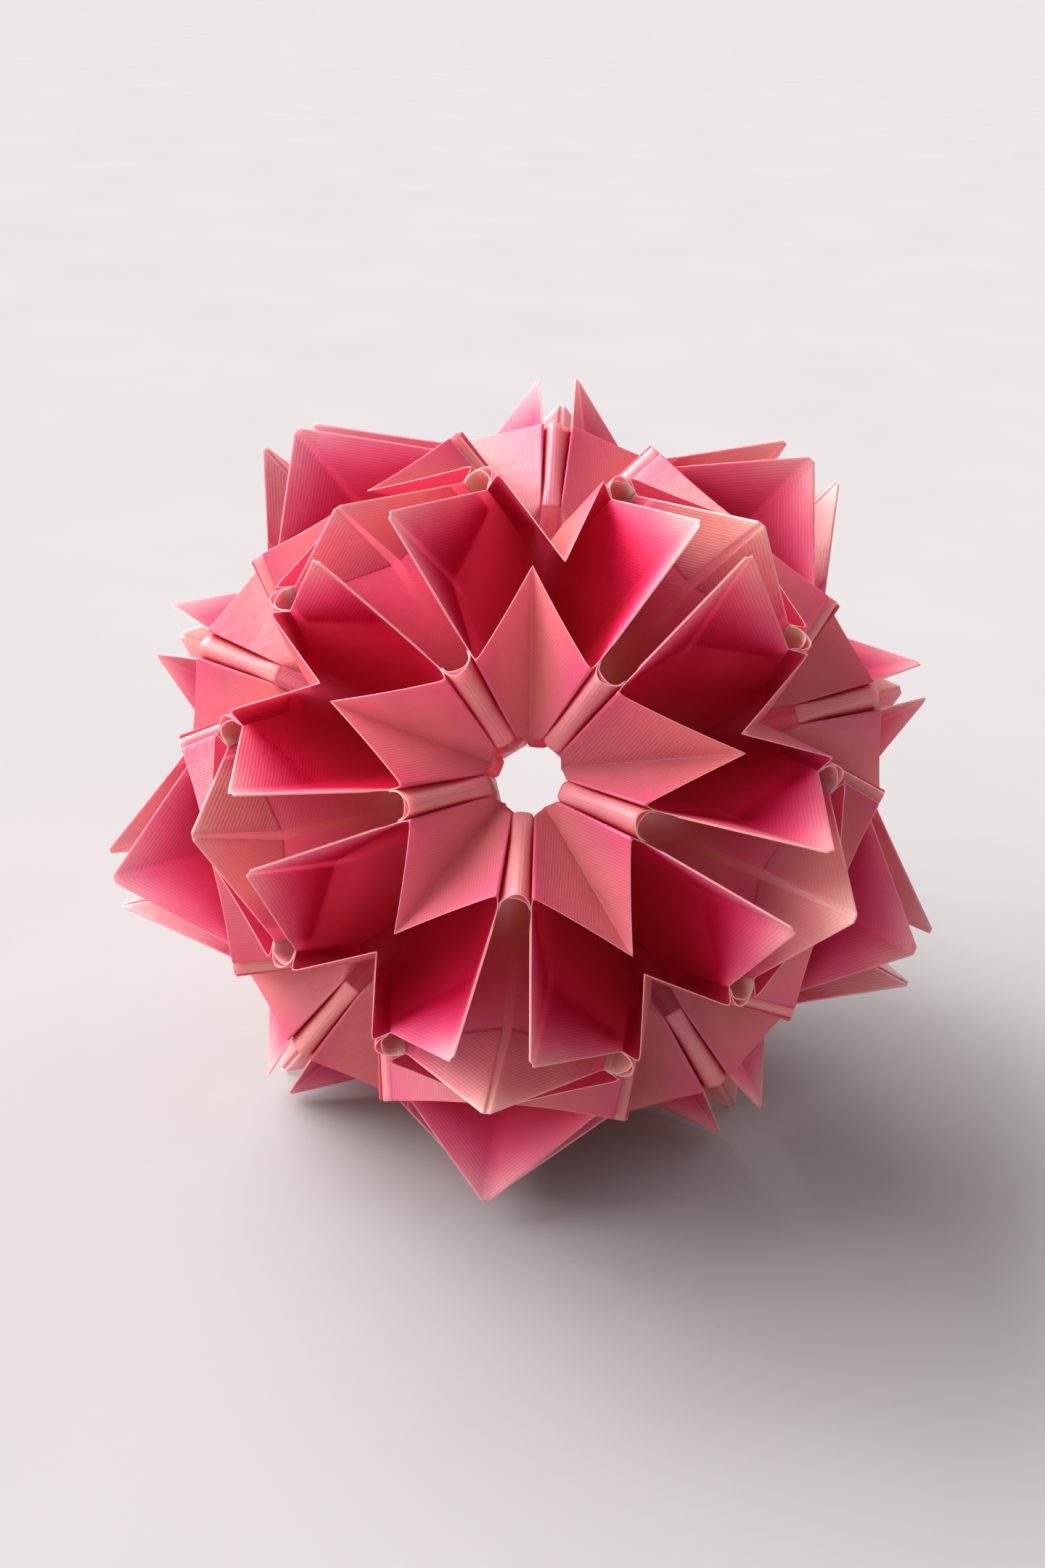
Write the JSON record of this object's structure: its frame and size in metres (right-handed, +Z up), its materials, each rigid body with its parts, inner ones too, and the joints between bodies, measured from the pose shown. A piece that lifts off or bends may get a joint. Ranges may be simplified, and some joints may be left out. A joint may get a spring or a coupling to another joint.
{
  "type": "kusudama paper ball",
  "caption": "Round decorative ball of folded paper units joined edge to edge, with open stars, deep pits and pointed prows; stands on its points or hangs by a thread.",
  "frame": {"origin": "middle of the ball's footprint, level with the ten lowest prow points", "axes": "+Z up through the middle of the top star; -Y towards the star that faces the viewer"},
  "size_m": [0.1166, 0.1202, 0.0999],
  "materials": {
    "rose_paper": "satin"
  },
  "bodies": {
    "root": {"unit_01": "rose_paper", "unit_02": "rose_paper", "unit_03": "rose_paper", "unit_04": "rose_paper", "unit_05": "rose_paper", "unit_06": "rose_paper", "unit_07": "rose_paper", "unit_08": "rose_paper", "unit_09": "rose_paper", "unit_10": "rose_paper", "unit_11": "rose_paper", "unit_12": "rose_paper", "unit_13": "rose_paper", "unit_14": "rose_paper", "unit_15": "rose_paper", "unit_16": "rose_paper", "unit_17": "rose_paper", "unit_18": "rose_paper", "unit_19": "rose_paper", "unit_20": "rose_paper", "unit_21": "rose_paper", "unit_22": "rose_paper", "unit_23": "rose_paper", "unit_24": "rose_paper", "unit_25": "rose_paper", "unit_26": "rose_paper", "unit_27": "rose_paper", "unit_28": "rose_paper", "unit_29": "rose_paper", "unit_30": "rose_paper"}
  },
  "joints": []
}
